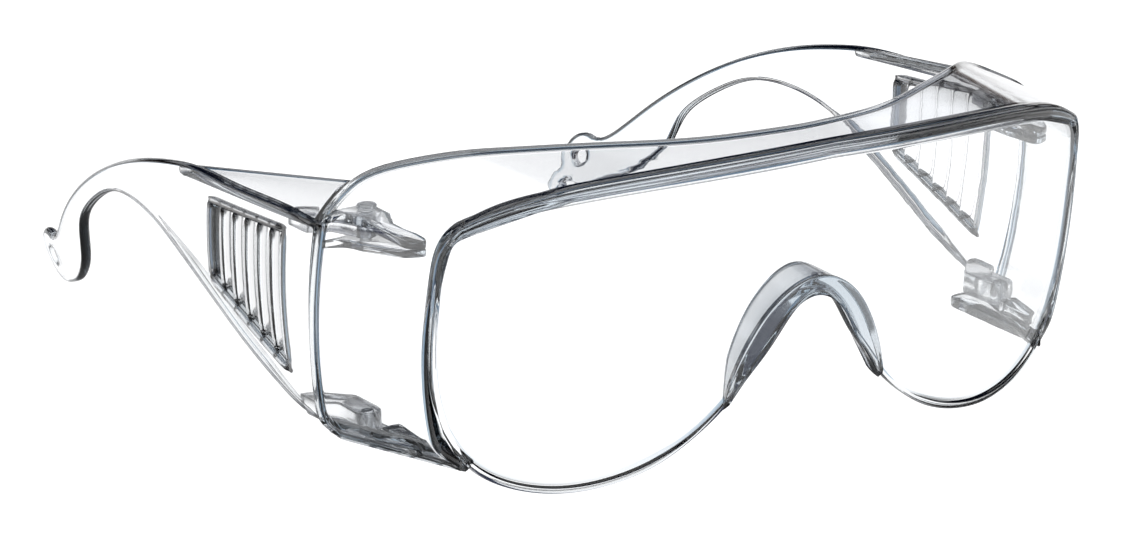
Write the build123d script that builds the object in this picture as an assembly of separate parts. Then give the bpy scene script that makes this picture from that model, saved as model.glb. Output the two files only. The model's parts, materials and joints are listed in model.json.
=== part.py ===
from build123d import *
import math
import os

# Clear over-the-glasses safety spectacles: a one-piece wraparound front, two temples with
# louvred side shields, and four hinge pins. Everything is in millimetres, +X to the wearer's
# left, +Y towards the back of the head, +Z up. The shapes are first drawn with Y = 0 on the
# two hinge axes and Z = 0 on the table, and moved back to front at the end, so that the origin
# is under the middle of the whole object.

# ---- driving dimensions -------------------------------------------------------------------
half_width = 75.0            # outer face of the wing at the hinge line
wall = 2.0                   # moulded wall of front and temples
barrel_radius = 101.0        # upright curvature of the sides
barrel_height = 35.6         # height of the widest point
ledge_bottom = 6.7           # underside of the bottom ledges
curl_z, curl_in = 10.4, 4.2  # where the foot of the wing turns in, and how far

window_radius = 146.0        # plan curvature of the window
window_front = -35.8         # front of the window on the centre line, at lean_height
window_lean = 7.8            # degrees, the foot of the window sits further back
lean_height = 31.1
window_wall = 2.2
window_half = 66.6
window_crown = 58.3
bead_side, bead_top = 1.4, 2.4   # width of the raised bead at the flanks and along the top
bead_proud = 0.6

hood_corner = (64.0, 6.7)    # plan position of the hood's rear corners
hinge_x = 65.7
line_y = 3.7                 # rear edge of the wing at barrel_height
line_lean = 0.10             # how far that edge runs back per unit of height lost
line_gap = 0.4               # slit between wing and temple

temple_plan_radius = 720.0
tip_y, tip_z, tip_radius = 125.9, 6.0, 5.4
cord_hole_radius = 1.8
rib_height, rib_depth = 2.2, 1.2

upper_pin_radius, upper_cap_radius, upper_cap = 1.0, 1.7, 0.9
lower_pin_radius = 1.0
pin_clearance = 0.06
lug_gap = 0.3                # axial play of a knuckle
plate_low, plate_high = 41.6, 45.6
plate_wall = 1.3
knuckle_radius = 2.4
block_bottom, block_top = 9.1, 13.3

BIG = 400.0


# ---- helpers ------------------------------------------------------------------------------
def prism_x(face_yz, x_from, x_to):
    """A (y, z) outline carried along X."""
    flat = extrude(Plane.YZ * face_yz, amount=x_to - x_from)
    return Pos(x_from, 0, 0) * flat


def prism_y(face_xz, y_from, y_to):
    """An (x, z) outline carried along Y."""
    flat = extrude(Plane.XZ * face_xz, amount=-(y_to - y_from))
    return Pos(0, y_from, 0) * flat


def prism_z(face_xy, z_from, z_to):
    """An (x, y) outline carried along Z."""
    return Pos(0, 0, z_from) * extrude(face_xy, amount=z_to - z_from)


def upright(radius, x, y, z_from, z_to):
    return Pos(x, y, (z_from + z_to) / 2) * Cylinder(radius, z_to - z_from)


def both_sides(solid):
    return solid + mirror(solid, about=Plane.YZ)


def polygon(points):
    return make_face(Polyline(*points, close=True))


# ---- front --------------------------------------------------------------------------------
def hull_section(y, width, top, shoulder_x, shoulder_z, outer_z, inset):
    """Cross-section of the shell at one depth: a flat arch, a sloping shoulder, a barrel side."""
    outer_x = width - (outer_z - barrel_height) ** 2 / (2 * barrel_radius)
    curl_x = width - (barrel_height - curl_z) ** 2 / (2 * barrel_radius)
    foot_x = curl_x - curl_in
    arch = ThreePointArc((-shoulder_x, shoulder_z), (0, top), (shoulder_x, shoulder_z))
    right = Line((shoulder_x, shoulder_z), (outer_x, outer_z))
    side = ThreePointArc((outer_x, outer_z), (width, barrel_height), (curl_x, curl_z))
    foot = Polyline((curl_x, curl_z), (foot_x, ledge_bottom), (-foot_x, ledge_bottom), (-curl_x, curl_z))
    side_left = ThreePointArc((-curl_x, curl_z), (-width, barrel_height), (-outer_x, outer_z))
    left = Line((-outer_x, outer_z), (-shoulder_x, shoulder_z))
    face = make_face([arch, right, side, foot, side_left, left])
    if inset:
        face = offset(face, amount=-inset, kind=Kind.INTERSECTION)
    return Pos(0, y, 0) * (Plane.XZ * face)


def hull(inset):
    """The shell's outer form, or the hollow inside it when inset is the wall."""
    front_face = hull_section(-42, 59.1, 58.4, 45.0, 55.4, 51.4, inset)
    rear_face = hull_section(12, 77.9, 62.0, 53.5, 57.8, 46.6, inset)
    return loft([front_face, rear_face], ruled=True)


def leaning_drum(radius):
    """Upright drum whose front touches the window's front face, leaning back at the foot."""
    drum = Pos(0, window_front + window_radius, 0) * Cylinder(radius, BIG)
    return Pos(0, window_front, lean_height) * Rot(window_lean, 0, 0) * Pos(0, -window_front, 0) * drum


def window_outline():
    """Front view of the window, cut away over the nose."""
    crown_end = (56.0, 53.7)
    top = ThreePointArc((-crown_end[0], crown_end[1]), (0, window_crown), crown_end)
    sides = []
    for side in (1, -1):
        corner = [crown_end, (63.4, 50.4), (window_half, 44.0)]
        flank = [(window_half, 44.0), (window_half, 28.5), (63.7, 13.5)]
        belly = [(63.7, 13.5), (56.5, 4.2), (43.5, 0.6), (28.0, 3.8), (16.3, 12.8)]
        leg = [(16.3, 12.8), (9.2, 21.8), (0, 31.0)]
        for points in (corner, flank, belly):
            sides.append(Spline(*[(side * x, z) for x, z in points]))
        start, middle, apex = [(side * x, z) for x, z in leg]
        sides.append(Spline(start, middle, apex, tangents=[(-side * 0.62, 0.78), (-side, 0)]))
    return make_face([top] + sides)


def saddle_outline():
    """Front view of the nose saddle: a crescent over the nose opening."""
    outer = Spline((-16.6, 12.5), (-13.2, 22.5), (0, 34.3), (13.2, 22.5), (16.6, 12.5))
    inner_right = Spline((16.3, 12.8), (9.2, 21.8), (0, 31.0), tangents=[(-0.62, 0.78), (-1, 0)])
    inner_left = Spline((-16.3, 12.8), (-9.2, 21.8), (0, 31.0), tangents=[(0.62, 0.78), (1, 0)])
    close_right = Line((16.6, 12.5), (16.3, 12.8))
    close_left = Line((-16.6, 12.5), (-16.3, 12.8))
    return make_face([outer, inner_right, inner_left, close_right, close_left])


def brow_plan():
    """Everything ahead of the hood's swept rear edge and of the wings' rear edges."""
    right = [(0, -30), (18, -26.8), (36.4, -16.4), (51.6, -5.4), (56.5, -0.4), hood_corner]
    left = [(-x, y) for x, y in right]
    swoop = Spline(*right, tangents=[(1, 0), (0.8, 0.6)])
    swoop_left = Spline(*left, tangents=[(-1, 0), (-0.8, 0.6)])
    corner_x, corner_y = hood_corner
    far = 90
    rim = Polyline(hood_corner, (74.0, line_y - 1.1), (far, line_y - 3), (far, -far), (-far, -far),
                   (-far, line_y - 3), (-74.0, line_y - 1.1), (-corner_x, corner_y))
    return make_face([swoop, rim, swoop_left])


def ahead_of_hinge_line(gap):
    """Half space ahead of the leaning line where wing and temple meet."""
    top, bottom = 47.0, -10.0
    y_top = line_y - line_lean * (top - barrel_height) + gap
    y_bottom = line_y - line_lean * (bottom - barrel_height) + gap
    shape = polygon([(-BIG, bottom), (y_bottom, bottom), (y_top, top), (-BIG, top)])
    return prism_x(shape, -BIG, BIG)


def rear_trim():
    """What the front may fill: the plan of the hood above, the hinge line below."""
    above = prism_z(brow_plan(), 46.0, 90)
    return above + ahead_of_hinge_line(0)


def clevis_plate(z_from):
    """One leaf of the upper hinge, a gusset that runs forward to a point."""
    leaf = polygon([(63.6, 3.0), (63.2, -2.0), (66.0, -18.0), (80, -18.0), (80, 3.0)])
    leaf = prism_z(leaf, z_from, z_from + plate_wall)
    return leaf - upright(upper_pin_radius, hinge_x, 0, z_from - 1, z_from + plate_wall + 1)


def ledge():
    """Bottom ledge that carries the lower hinge, with the rib ahead of the block."""
    shelf = polygon([(61.4, 9.3), (60.0, -14.5), (66, -22), (80, -22), (80, 9.3)])
    shelf = prism_z(shelf, ledge_bottom, ledge_bottom + wall)
    rib = prism_y(polygon([(61.8, 8.0), (66.0, 8.0), (66.0, 11.4), (63.6, 11.4)]), -12.5, -4.0)
    rib -= Pos(64, -12.5, 12.3) * Rot(25, 0, 0) * Box(8, 14, 4)
    shelf += rib
    return shelf - upright(lower_pin_radius, hinge_x, 0, 0, 20)


def make_front():
    outer = hull(0)
    inside_window = leaning_drum(window_radius)
    shell = outer - hull(wall)
    open_floor = prism_z(polygon([(-60, -80), (60, -80), (60, 80), (-60, 80)]), -20, ledge_bottom + wall + 1)
    shell = (shell - open_floor) & inside_window & rear_trim()

    outline = window_outline()
    pane = leaning_drum(window_radius) - leaning_drum(window_radius - window_wall)
    window = pane & prism_y(outline, -70, 0)
    centre = window_crown / 2
    narrower = (1 - bead_side / window_half, 1 - bead_top / centre, 1)
    rim = outline - Pos(0, centre) * scale(Pos(0, -centre) * outline, by=narrower)
    bead_pane = leaning_drum(window_radius + bead_proud) - leaning_drum(window_radius - window_wall)
    above_nose = prism_z(polygon([(-90, -80), (90, -80), (90, 0), (-90, 0)]), 34.0, 80)
    beside_nose = both_sides(prism_z(polygon([(30, -80), (90, -80), (90, 0), (30, 0)]), -5, 34.0))
    bead = bead_pane & prism_y(rim, -70, 0) & (above_nose + beside_nose)
    saddle = prism_y(saddle_outline(), -50, -27.5) & inside_window

    inside = outer & inside_window
    leaves = clevis_plate(plate_low) + clevis_plate(plate_high)
    hinge_seats = both_sides((leaves & inside & rear_trim()) + (ledge() & inside))
    front = shell + window + bead + saddle + hinge_seats
    for side in (1, -1):
        front -= upright(upper_pin_radius, side * hinge_x, 0, plate_low - 1, plate_high + plate_wall + upper_cap + 0.4)
        front -= upright(upper_cap_radius + 0.2, side * hinge_x, 0, plate_high + plate_wall,
                         plate_high + plate_wall + upper_cap + 0.4)
        front -= upright(lower_pin_radius, side * hinge_x, 0, 0, 20)
        # room in the foot of the wing for the lower knuckle to turn
        front -= upright(knuckle_radius + lug_gap, side * hinge_x, 0, ledge_bottom + wall, block_top + lug_gap)
    return front


# ---- temple (the one at +X; the other is its mirror image) ---------------------------------
def temple_skin(depth_from, depth_to):
    """Doubly curved sheet: an upright arc turned about a far upright axis."""
    centre_x = half_width - barrel_radius
    low, high = -8.0, 60.0

    def at(radius, z):
        return centre_x + math.sqrt(radius ** 2 - (z - barrel_height) ** 2)

    outer_radius = barrel_radius - depth_from
    inner_radius = barrel_radius - depth_to
    outer = ThreePointArc((at(outer_radius, low), low), (centre_x + outer_radius, barrel_height),
                          (at(outer_radius, high), high))
    inner = ThreePointArc((at(inner_radius, low), low), (centre_x + inner_radius, barrel_height),
                          (at(inner_radius, high), high))
    top = Line(outer @ 1, inner @ 1)
    bottom = Line(outer @ 0, inner @ 0)
    section = Pos(0, line_y, 0) * (Plane.XZ * make_face([outer, top, inner, bottom]))
    axis = Axis((half_width - temple_plan_radius, line_y, 0), (0, 0, 1))
    start = 1.5
    section = section.rotate(axis, -start)
    return revolve(section, axis=axis, revolution_arc=start + 15.0)


def on_skin(y, z):
    """Point of the temple's outer face at this depth and height, and the normal there."""
    lean = math.asin((z - barrel_height) / barrel_radius)
    reach = temple_plan_radius - barrel_radius * (1 - math.cos(lean))
    turn = math.asin((y - line_y) / reach)
    x = half_width - temple_plan_radius + reach * math.cos(turn)
    normal = (math.cos(turn) * math.cos(lean), math.sin(turn) * math.cos(lean), math.sin(lean))
    return (x, y, z), normal


def temple_outline():
    """Side view (y, z) of the temple, from the hinge line to the ear hook."""
    z_top, z_foot = 45.8, 9.3
    y_top = line_y - line_lean * (z_top - barrel_height) + line_gap
    y_foot = line_y - line_lean * (z_foot - barrel_height) + line_gap
    front = Line((y_foot, z_foot), (y_top, z_top))
    bend = Line((y_top, z_top), (16.0, 47.4))
    top = Spline((16.0, 47.4), (31.2, 47.4), (48.0, 45.3), (67.3, 41.2), (95.5, 30.1), (111.0, 19.9),
                 (tip_y - 4.0, tip_z + 4.6))
    foot = Line((y_foot, z_foot), (12.4, z_foot))
    lower = Spline((12.4, z_foot), (30.0, 16.6), (52.9, 27.2), (72.0, 31.8), (90.4, 27.4), (101.2, 19.0),
                   (102.3, 12.6))
    sole = Spline((102.3, 12.6), (113.0, 4.6), (tip_y, tip_z - tip_radius))
    paddle = ThreePointArc((tip_y, tip_z - tip_radius), (tip_y + tip_radius, tip_z),
                           (tip_y - 4.0, tip_z + 4.6))
    return make_face([front, bend, top, paddle, sole, lower, foot])


def shoulder_flange():
    """Top edge turned inwards: wide beside the hood, fading to nothing along the temple."""
    start = [(74.3, 46.6), (64.9, 50.9), (64.9, 49.0), (72.4, 45.0)]
    finish = [(73.8, 44.8), (73.2, 45.0), (72.6, 44.6), (71.6, 43.6)]
    faces = [Pos(0, y, 0) * (Plane.XZ * polygon(section)) for y, section in ((2.0, start), (50.0, finish))]
    flange = loft(faces, ruled=True)
    corner_x, corner_y = hood_corner
    gap = 2 * line_gap
    clear = polygon([(corner_x - 9, corner_y + gap), (corner_x, corner_y + gap), (74.0, line_y - 1.1 + gap),
                     (90, line_y - 3 + gap), (90, 60), (corner_x - 9, 60)])
    return flange & prism_z(clear, 30, 60)


def louvre_slots():
    """Openings between the upright louvres of the side shield, in side view."""
    front_top, rear_top = (13.2, 42.1), (39.7, 40.6)
    front_foot, rear_foot = (14.4, 17.4), (40.0, 27.2)
    louvres = 5
    bar = 0.6
    slots = []

    def between(a, b, t):
        return (a[0] + (b[0] - a[0]) * t, a[1] + (b[1] - a[1]) * t)

    bays = louvres + 1
    for bay in range(bays):
        start = bay / bays
        end = (bay + 1) / bays
        corners = [between(front_top, rear_top, start), between(front_top, rear_top, end),
                   between(front_foot, rear_foot, end), between(front_foot, rear_foot, start)]
        near, far = corners[0], corners[1]
        corners[0] = (near[0] + bar, near[1])
        corners[1] = (far[0] - bar, far[1])
        corners[2] = (corners[2][0] - bar, corners[2][1])
        corners[3] = (corners[3][0] + bar, corners[3][1])
        slots.append(prism_x(polygon(corners), 40, 90))
    return slots


def temple_lugs():
    """Upper knuckle and lower block, each on an arm that reaches in to the hinge axis."""
    knuckle_low = plate_low + plate_wall + lug_gap
    knuckle_high = plate_high - lug_gap
    upper = polygon([(hinge_x - knuckle_radius, 0), (hinge_x + knuckle_radius, 0), (70.2, 4.8), (80, 6.8),
                     (80, 13.0), (71.0, 12.0), (66.0, 7.6)])
    upper = prism_z(upper, knuckle_low, knuckle_high)
    upper += upright(knuckle_radius, hinge_x, 0, knuckle_low, knuckle_high)
    lower = polygon([(hinge_x - knuckle_radius, 0), (hinge_x + knuckle_radius, 0), (67.8, 5.4), (80, 9.0),
                     (80, 15.5), (69.0, 13.0), (hinge_x - knuckle_radius, 7.4)])
    lower = prism_z(lower, block_bottom, block_top)
    lower += upright(knuckle_radius, hinge_x, 0, block_bottom, block_top)
    return upper, lower


def make_temple():
    sheet = temple_skin(0, wall)
    outline = temple_outline()
    temple = (sheet & prism_x(outline, 40, 90)) + shoulder_flange()
    # stiffening rib inside the bottom edge of the shield
    shield_only = polygon([(9.5, -5), (58, -5), (58, 60), (9.5, 60)])
    strip = (outline - Pos(0, rib_height) * outline) & shield_only
    temple += temple_skin(wall - 0.2, wall + rib_depth) & prism_x(strip, 40, 90)
    for slot in louvre_slots():
        temple -= slot
    upper, lower = temple_lugs()
    inside_wing = hull(wall + line_gap)
    inside_shield = temple_skin(0, 30) - ahead_of_hinge_line(line_gap)
    for lug in (upper, lower):
        temple += (lug & inside_wing) + (lug & inside_shield)
    temple -= upright(upper_pin_radius + pin_clearance, hinge_x, 0, 30, 60)
    temple -= upright(lower_pin_radius + pin_clearance, hinge_x, 0, 0, 30)
    spot, outwards = on_skin(tip_y, tip_z)
    print("cord hole from", [round(c, 3) for c in spot], "along", [round(c, 4) for c in outwards])
    temple -= Plane(origin=spot, z_dir=outwards) * Cylinder(cord_hole_radius, 6 * wall)
    return temple


# ---- pins ---------------------------------------------------------------------------------
def make_upper_pin():
    seat = plate_high + plate_wall
    shank = upright(upper_pin_radius, hinge_x, 0, plate_low, seat)
    cap = upright(upper_cap_radius, hinge_x, 0, seat, seat + upper_cap)
    return shank + cap


def make_lower_pin():
    return upright(lower_pin_radius, hinge_x, 0, ledge_bottom, block_top - 0.4)


# ---- assembly -----------------------------------------------------------------------------
def whole(shape):
    """One solid from a boolean result."""
    solids = shape.solids()
    assert len(solids) == 1, len(solids)
    return solids[0]


os.makedirs("parts", exist_ok=True)
temple = whole(make_temple())
upper_pin = whole(make_upper_pin())
lower_pin = whole(make_lower_pin())
nodes = {
    "wraparound_front": whole(make_front()),
    "temple_left": temple,
    "temple_right": mirror(temple, about=Plane.YZ),
    "upper_hinge_pin_left": upper_pin,
    "upper_hinge_pin_right": mirror(upper_pin, about=Plane.YZ),
    "lower_hinge_pin_left": lower_pin,
    "lower_hinge_pin_right": mirror(lower_pin, about=Plane.YZ),
}
boxes = [solid.bounding_box() for solid in nodes.values()]
front_y = min(box.min.Y for box in boxes)
back_y = max(box.max.Y for box in boxes)
floor_z = min(box.min.Z for box in boxes)
hinge_y = -(front_y + back_y) / 2
print("hinge axes at y =", round(hinge_y, 3), "raised by", round(-floor_z, 3))
for name, solid in nodes.items():
    export_step(solid.moved(Location((0, hinge_y, -floor_z))), f"parts/{name}.step")
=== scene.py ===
# %% [markdown]
# # Clear over-the-glasses safety spectacles
# One moulded window with a brow hood, two folding temples with louvred side shields, and
# four small pins. Everything is clear polycarbonate, so the light, the wall thicknesses and
# the rounded rims make the picture: clear plastic shows itself only where it bends the view.

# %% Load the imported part
import json
import math

import bpy
import numpy as np
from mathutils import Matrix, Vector


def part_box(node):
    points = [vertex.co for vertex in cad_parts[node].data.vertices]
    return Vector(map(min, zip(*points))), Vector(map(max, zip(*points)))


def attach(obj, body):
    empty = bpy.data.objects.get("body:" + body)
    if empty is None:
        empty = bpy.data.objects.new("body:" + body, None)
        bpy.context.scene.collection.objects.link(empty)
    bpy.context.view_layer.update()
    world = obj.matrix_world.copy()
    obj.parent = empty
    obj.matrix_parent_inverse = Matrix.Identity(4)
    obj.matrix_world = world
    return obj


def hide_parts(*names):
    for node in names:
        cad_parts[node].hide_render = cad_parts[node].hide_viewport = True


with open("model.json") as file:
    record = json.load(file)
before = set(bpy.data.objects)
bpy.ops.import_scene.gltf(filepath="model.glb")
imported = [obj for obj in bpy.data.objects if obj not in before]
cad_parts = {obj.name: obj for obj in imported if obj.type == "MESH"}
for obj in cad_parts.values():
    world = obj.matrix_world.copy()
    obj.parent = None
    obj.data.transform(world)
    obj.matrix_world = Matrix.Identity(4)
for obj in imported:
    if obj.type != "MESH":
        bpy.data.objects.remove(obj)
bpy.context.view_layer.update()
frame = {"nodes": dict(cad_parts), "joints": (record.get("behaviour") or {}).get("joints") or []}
print("pieces in the packed part:", sorted(frame["nodes"]))

# %% [markdown]
# The camera stands a metre away with a long lens, to the right of the wearer and a little
# above, so that the near temple and the whole window are seen without much perspective.

# %% Camera
turn, drop = math.radians(-33.0), math.radians(17.3)
toward = Vector((-math.sin(turn) * math.cos(drop), math.cos(turn) * math.cos(drop), -math.sin(drop)))
lens = bpy.data.cameras.new("camera")
lens.lens, lens.sensor_width = 160.0, 36.0
lens.clip_start, lens.clip_end = 0.01, 50.0
camera = bpy.data.objects.new("camera", lens)
camera.location = (-0.46946, -0.72591, 0.28334)
camera.rotation_euler = toward.to_track_quat("-Z", "Y").to_euler()
bpy.context.scene.collection.objects.link(camera)
bpy.context.scene.camera = camera
print("camera looks along", tuple(round(c, 3) for c in toward))

# %% [markdown]
# Clear plastic is best seen in a bright field: the table and the horizon are white, and
# the room above is dark apart from soft boxes. Where the plastic is flat the white shows
# through it unchanged. Where a rim or a corner bends the view upwards, it meets the dark
# room, and that draws the outline.

# %% Room and table
def linked(tree, kind, **values):
    """A new node with its plain input values set by name."""
    node = tree.nodes.new(kind)
    for name, value in values.items():
        node.inputs[name.replace("_", " ")].default_value = value
    return node


room = bpy.data.worlds.new("room")
room.use_nodes = True
tree = room.node_tree
tree.nodes.clear()
where = tree.nodes.new("ShaderNodeTexCoord")
split = tree.nodes.new("ShaderNodeSeparateXYZ")
ramp = tree.nodes.new("ShaderNodeValToRGB")
light = linked(tree, "ShaderNodeBackground", Strength=1.1)
out = tree.nodes.new("ShaderNodeOutputWorld")
tree.links.new(where.outputs["Generated"], split.inputs[0])
tree.links.new(split.outputs["Z"], ramp.inputs["Fac"])
tree.links.new(ramp.outputs["Color"], light.inputs["Color"])
tree.links.new(light.outputs[0], out.inputs["Surface"])
white = (1.0, 1.0, 1.0)
bands = [(0.0, white), (0.09, white), (0.13, (0.10, 0.07, 0.055)), (0.22, (0.02, 0.02, 0.025)),
         (0.26, (0.75, 0.76, 0.80)), (0.32, (0.75, 0.77, 0.82)), (0.36, (0.01, 0.015, 0.04)),
         (0.62, (0.02, 0.03, 0.07)), (0.66, (0.95, 0.97, 1.0)), (1.0, white)]
stops = ramp.color_ramp.elements
for position, colour in bands[1:-1]:
    stops.new(position)
for stop, (position, colour) in zip(stops, bands):
    stop.position, stop.color = position, (*colour, 1.0)
bpy.context.scene.world = room
bpy.context.scene.view_settings.view_transform = "Standard"

# %% [markdown]
# All sizes below are millimetres about the hinges: the width x is 0 in the middle, the depth
# y is 0 on the hinge axes, and the height z is 0 at the table. The joints and boxes of the
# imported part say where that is.

# %% From hinge millimetres to the part's frame
MM = 0.001
hinge = np.array(frame["joints"][0]["pos_m"]) / MM
ledge_z = 6.7
shift = np.array([0.0, hinge[1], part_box("lower_hinge_pin_left")[0][2] / MM - ledge_z])
print("hinge axis stands at", hinge[:2].round(2), "and the shift is", shift.round(3))


def placed(points):
    """Hinge millimetres to metres in the part's frame: add the shift, then scale."""
    return (np.asarray(points, float) + shift) * MM


# %% [markdown]
# Outlines are drawn with few points. A natural cubic spline through them gives the smooth
# curve, and its bending is found from one small set of linear equations.

# %% Curves through a few points
def spline(points, count, spread=None):
    """Natural cubic through the points, timed by chord length, sampled evenly or at spread."""
    p = np.asarray(points, float)
    knots = np.concatenate([[0], np.cumsum(np.linalg.norm(np.diff(p, axis=0), axis=1))])
    gaps = np.diff(knots)[:, None]
    size = len(p)
    system = np.eye(size)
    known = np.zeros_like(p)
    inner = np.arange(1, size - 1)
    system[inner, inner - 1] = gaps[:-1, 0]
    system[inner, inner] = 2 * (gaps[:-1, 0] + gaps[1:, 0])
    system[inner, inner + 1] = gaps[1:, 0]
    slope = np.diff(p, axis=0) / gaps
    known[1:-1] = 6 * np.diff(slope, axis=0)
    bend = np.linalg.solve(system, known)
    at = np.linspace(0, 1, count) * knots[-1] if spread is None else np.asarray(spread) * knots[-1]
    k = np.clip(np.searchsorted(knots, at, side="right") - 1, 0, size - 2)
    left, right = (at - knots[k])[:, None], (knots[k + 1] - at)[:, None]
    g = gaps[k]
    return (bend[k] * right ** 3 + bend[k + 1] * left ** 3) / (6 * g) \
        + (p[k] / g - bend[k] * g / 6) * right + (p[k + 1] / g - bend[k + 1] * g / 6) * left


def run(points, count):
    """Straight runs through the points, sampled evenly by length."""
    p = np.asarray(points, float)
    length = np.concatenate([[0], np.cumsum(np.linalg.norm(np.diff(p, axis=0), axis=1))])
    at = np.linspace(0, length[-1], count)
    return np.stack([np.interp(at, length, p[:, k]) for k in range(p.shape[1])], axis=1)


def softened(points, reach, closed=False):
    """Corners rounded by averaging each point with its neighbours under a bell curve."""
    weights = np.exp(-0.5 * (np.arange(-3 * reach, 3 * reach + 1) / reach) ** 2)
    weights /= weights.sum()
    pad = 3 * reach
    if closed:
        long = np.concatenate([points[-pad:], points, points[:pad]])
    else:
        before = 2 * points[0] - points[pad:0:-1]
        after = 2 * points[-1] - points[-2:-pad - 2:-1]
        long = np.concatenate([before, points, after])
    return np.stack([np.convolve(long[:, k], weights, "valid") for k in range(points.shape[1])], axis=1)


# %% [markdown]
# Almost every wall of the spectacles is a sheet of even thickness with a rounded rim. One
# helper makes such a sheet: it takes the outer face as a grid of points, lays the inner face
# a wall's thickness below it, and carries a rim profile around every free edge. A modifier
# could thicken a sheet too, but it can't give each edge its own profile, and clear plastic
# shows little apart from its rims.

# %% Sheets with rims
def unit(vectors):
    """Vectors scaled to length one."""
    return vectors / np.maximum(np.linalg.norm(vectors, axis=-1, keepdims=True), 1e-12)


def around(rows, columns):
    """Grid positions along the edge of a block of rows and columns, once around."""
    r0, r1 = rows
    c0, c1 = columns
    ring = [(r, c0) for r in range(r0, r1)] + [(r1, c) for c in range(c0, c1)]
    ring += [(r, c1) for r in range(r1, r0, -1)] + [(r0, c) for c in range(c1, c0, -1)]
    return np.array(ring)


def round_rim(wall, reach=None, steps=7):
    """Half an ellipse from the outer to the inner face, standing out by reach."""
    angle = np.linspace(0, np.pi, steps + 1)[1:-1]
    out = (wall / 2 if reach is None else reach) * np.sin(angle)
    return np.stack([out, wall / 2 * (1 - np.cos(angle))], axis=1)


def sheet(outer, wall, rim=None, hole=None, widths=None, heights=None, normal=None):
    """Closed sheet below a grid of outer points, and how many of its faces come before the rims.

    Inner point = outer point - wall * normal. Rim point = edge point + width * t * outward
    - depth * normal, for each (t, depth) of the rim profile; hole cuts a block of cells.
    """
    rim = round_rim(wall) if rim is None else rim
    rows, columns = outer.shape[:2]
    if normal is None:
        normal = unit(np.cross(np.gradient(outer, axis=0), np.gradient(outer, axis=1)))
    inner = outer - wall * normal
    index = np.arange(rows * columns).reshape(rows, columns)
    vertices = [outer.reshape(-1, 3), inner.reshape(-1, 3)]
    used = np.ones((rows - 1, columns - 1), bool)
    rings = [(around((0, rows - 1), (0, columns - 1)), 1)]
    if hole:
        (r0, r1), (c0, c1) = hole
        used[r0:r1, c0:c1] = False
        rings.append((around((r0, r1), (c0, c1)), -1))
    a, b, c, d = (index[:-1, :-1][used], index[1:, :-1][used], index[1:, 1:][used], index[:-1, 1:][used])
    quads = [np.stack([a, b, c, d], 1), np.stack([d, c, b, a], 1) + rows * columns]
    start = 2 * rows * columns
    for ring, side in rings:
        edge = outer[ring[:, 0], ring[:, 1]]
        up = normal[ring[:, 0], ring[:, 1]]
        along = np.roll(edge, -1, axis=0) - np.roll(edge, 1, axis=0)
        away = side * unit(np.cross(along, up))
        width = np.ones(len(ring)) if widths is None or side < 0 else widths
        height = np.ones(len(ring)) if heights is None or side < 0 else heights
        loops = [index[ring[:, 0], ring[:, 1]]]
        for t, depth in rim:
            lift = depth * height[:, None] if depth < 0 else depth
            vertices.append(edge + away * (t * width)[:, None] - up * lift)
            loops.append(start + np.arange(len(ring)))
            start += len(ring)
        loops.append(index[ring[:, 0], ring[:, 1]] + rows * columns)
        for first, second in zip(loops[:-1], loops[1:]):
            strip = np.stack([first, second, np.roll(second, -1), np.roll(first, -1)], 1)
            quads.append(strip[:, ::side])
    return np.concatenate(vertices), np.concatenate(quads), 2 * int(used.sum())


def facing_out(vertices, faces):
    """Faces turned round if the volume they enclose, summed over triangle fans, is negative."""
    fans = np.array([(f[0], f[k], f[k + 1]) for f in faces for k in range(1, len(f) - 1)])
    a, b, c = (vertices[fans[:, k]] for k in range(3))
    volume = np.einsum("ij,ij->i", a, np.cross(b, c)).sum() / 6
    return faces if volume > 0 else [face[::-1] for face in faces]


def sweep(sections):
    """Closed skin over rings of points: quads between neighbouring rings, one face on each end."""
    count, size = sections.shape[:2]
    index = np.arange(count * size).reshape(count, size)
    ahead = np.roll(index, -1, axis=1)
    quads = np.stack([index[:-1], ahead[:-1], ahead[1:], index[1:]], -1).reshape(-1, 4)
    faces = quads.tolist() + [index[0][::-1].tolist(), index[-1].tolist()]
    points = sections.reshape(-1, 3)
    return points, facing_out(points, faces)


def slab(outline, low, high, edge, slant=None, steps=4):
    """Upright prism of a plan outline with edges rounded to the radius edge, its ends first."""
    outline = np.asarray(outline, float)
    ahead = np.roll(outline, -1, axis=0) - np.roll(outline, 1, axis=0)
    area = np.sum(outline[:, 0] * np.roll(outline[:, 1], -1) - outline[:, 1] * np.roll(outline[:, 0], -1))
    outline = outline if area > 0 else outline[::-1]
    ahead = np.roll(outline, -1, axis=0) - np.roll(outline, 1, axis=0)
    inward = unit(np.stack([-ahead[:, 1], ahead[:, 0]], 1))
    angle = np.linspace(0, np.pi / 2, steps)
    inset = edge * (1 - np.sin(angle))
    rise = edge * (1 - np.cos(angle))
    levels = np.concatenate([low + rise, high - rise[::-1]])
    insets = np.concatenate([inset, inset[::-1]])
    plan = outline[None] + inward[None] * insets[:, None, None]
    height = np.broadcast_to(levels[:, None, None], plan.shape[:2] + (1,))
    body = np.concatenate([plan, height], axis=2)
    if slant is not None:
        body[..., 2] += slant(body[..., 1])
    points, faces = sweep(body)
    return points, faces[-2:] + faces[:-2], 2


def joined(parts):
    """Several shapes as one, with the flat faces of all of them first."""
    vertices, flats, rims, start = [], [], [], 0
    for points, cells, *count in parts:
        cells = [[corner + start for corner in face] for face in cells]
        split = count[0] if count else 0
        flats += cells[:split]
        rims += cells[split:]
        vertices.append(points)
        start += len(points)
    return np.concatenate(vertices), flats + rims, len(flats)


def mirrored(shape):
    """The same shape for the other side: x changes sign and every face turns round."""
    vertices, faces, *flats = shape
    return vertices * [-1, 1, 1], [list(face)[::-1] for face in faces], *flats


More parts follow.
